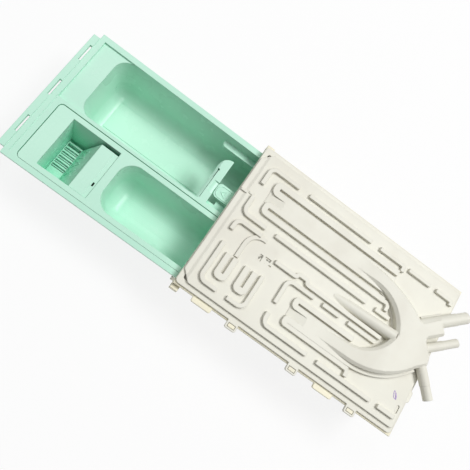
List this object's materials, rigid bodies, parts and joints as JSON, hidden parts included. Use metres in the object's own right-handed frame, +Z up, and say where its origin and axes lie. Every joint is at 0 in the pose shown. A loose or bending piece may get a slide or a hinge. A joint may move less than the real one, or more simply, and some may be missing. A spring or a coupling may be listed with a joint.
{
  "type": "washing machine detergent dispenser with drawer",
  "caption": "Mint-green pull-out detergent drawer with compartments and softener cover, in a cream housing closed by a ribbed water distributor lid with hose nozzles.",
  "frame": {"origin": "on the housing's underside, midway along and across the lid", "axes": "+X to the right, +Y to the rear where the hoses join, +Z up; the drawer comes out towards -Y"},
  "size_m": [0.2167, 0.579, 0.1085],
  "materials": {
    "housing_plastic": "satin cream, slightly yellowed",
    "lid_base_plastic": "satin cream",
    "lid_plastic": "satin cream",
    "drawer_plastic": "smooth mint green",
    "insert_plastic": "smooth mint green",
    "softener_plastic": "smooth mint green",
    "lever_plastic": "smooth mint green"
  },
  "bodies": {
    "dispenser": {"housing": "housing_plastic", "shower_plate": "lid_base_plastic", "distributor_cover": "lid_plastic"},
    "drawer": {"drawer_body": "drawer_plastic", "insert_tray": "insert_plastic", "softener_cover": "softener_plastic"},
    "lever": {"release_lever": "lever_plastic"}
  },
  "joints": [
    {"name": "drawer_slide", "type": "slide", "parent": "dispenser", "child": "drawer", "axis": [0, 1, 0], "range_m": [0, 0.24]},
    {"name": "lever_press", "type": "hinge", "parent": "drawer", "child": "lever", "pos_m": [-0.021, -0.1305, 0.074], "axis": [1, 0, 0], "range_deg": [0, 8], "stiffness_Nm_per_rad": 0.8, "springref_deg": -2.86}
  ]
}
